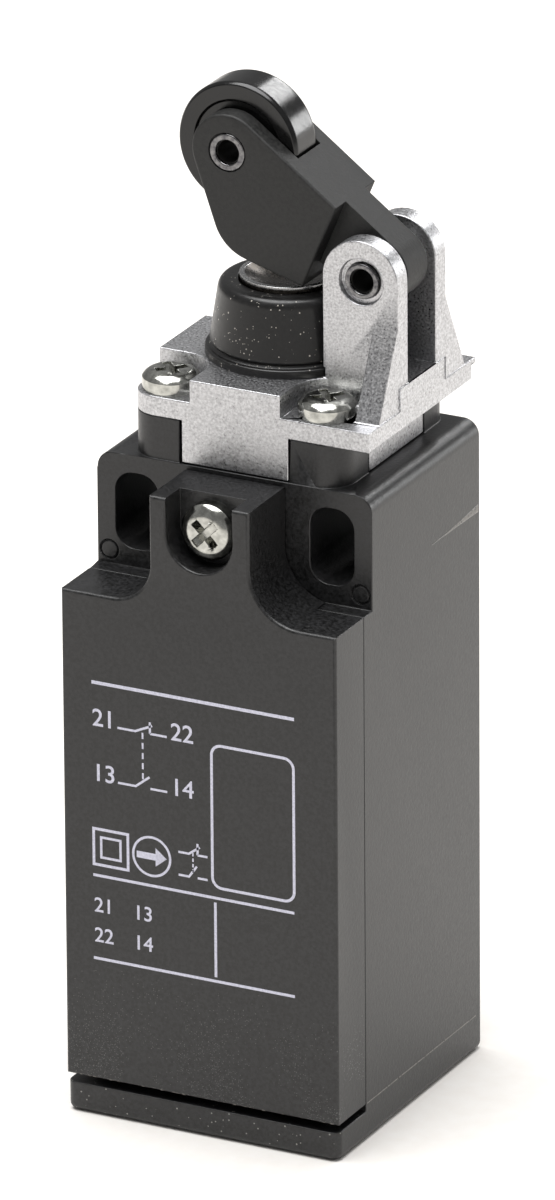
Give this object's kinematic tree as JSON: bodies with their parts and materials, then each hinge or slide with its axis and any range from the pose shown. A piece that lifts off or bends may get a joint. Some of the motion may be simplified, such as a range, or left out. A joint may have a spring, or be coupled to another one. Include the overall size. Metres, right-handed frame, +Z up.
{
  "type": "limit switch",
  "caption": "Plastic-bodied limit switch with a slotted mounting plate, die-cast head, booted spring plunger, one-way roller lever and a hinged cover over its contact block.",
  "frame": {"origin": "centre of the housing's bottom face, where the conduit enters", "axes": "+Z up from the conduit entry to the roller, -Y out of the cover, +X to the right of someone who looks at the cover"},
  "size_m": [0.031, 0.033, 0.1069],
  "materials": {
    "glass_filled_nylon": "black glass-filled nylon, fine eroded mould texture",
    "zinc_casting": "bare die-cast zinc alloy, grainy and bright",
    "plated_steel": "zinc-plated steel",
    "bright_steel": "bright turned steel",
    "spring_steel": "hard-drawn spring wire",
    "black_rubber": "smooth black rubber with a little dust",
    "sealing_rubber": "plain black rubber",
    "bronze_bush": "sintered bronze",
    "lever_nylon": "black moulded nylon, satin",
    "roller_plastic": "black acetal, polished tread",
    "contact_plastic": "light grey moulding",
    "carrier_plastic": "brick red moulding",
    "terminal_brass": "rolled brass strip",
    "contact_silver": "fine silver"
  },
  "bodies": {
    "switch_body": {"housing": "glass_filled_nylon", "head_body": "zinc_casting", "head_screws": "plated_steel", "block_screws": "plated_steel", "terminal_screws": "plated_steel", "clamp_plates": "plated_steel", "lever_pin": "bright_steel", "lever_washers": "bright_steel", "plunger_spring": "spring_steel", "return_spring": "spring_steel", "plunger_boot": "black_rubber", "head_gasket": "sealing_rubber", "plunger_bush": "bronze_bush", "contact_base": "contact_plastic", "contact_lid": "contact_plastic", "nc_terminals": "terminal_brass", "no_terminals": "terminal_brass", "fixed_contacts": "contact_silver"},
    "cover": {"cover": "glass_filled_nylon", "cover_gasket": "sealing_rubber", "cover_screw": "plated_steel"},
    "lever": {"lever": "lever_nylon", "roller_pin": "bright_steel"},
    "roller": {"roller": "roller_plastic"},
    "plunger": {"plunger": "bright_steel", "plunger_clip": "bright_steel", "contact_carrier": "carrier_plastic", "nc_bridge": "terminal_brass", "no_bridge": "terminal_brass", "moving_contacts": "contact_silver", "nc_contact_spring": "spring_steel", "no_contact_spring": "spring_steel"}
  },
  "joints": [
    {"name": "lever_pivot", "type": "hinge", "parent": "switch_body", "child": "lever", "pos_m": [0.0109, 0.00405, 0.0894], "axis": [0, -1, 0], "range_deg": [0, 25], "stiffness_Nm_per_rad": 0.002, "springref_deg": -57.3},
    {"name": "roller_spin", "type": "hinge", "parent": "lever", "child": "roller", "pos_m": [-0.00451, 0.00405, 0.10043], "axis": [0, 1, 0], "continuous": true},
    {"name": "plunger_slide", "type": "slide", "parent": "switch_body", "child": "plunger", "axis": [0, 0, -1], "range_m": [0, 0.0036], "stiffness_N_per_m": 150, "springref_m": -0.01, "deforming": ["plunger_boot", "plunger_spring", "return_spring"]},
    {"name": "cover_hinge", "type": "hinge", "parent": "switch_body", "child": "cover", "pos_m": [0, -0.0165, 0.00363], "axis": [1, 0, 0], "range_deg": [0, 85]}
  ],
  "couplings": [
    {"joint": "lever_pivot", "follows": "plunger_slide", "rad_per_m": 121.2}
  ]
}
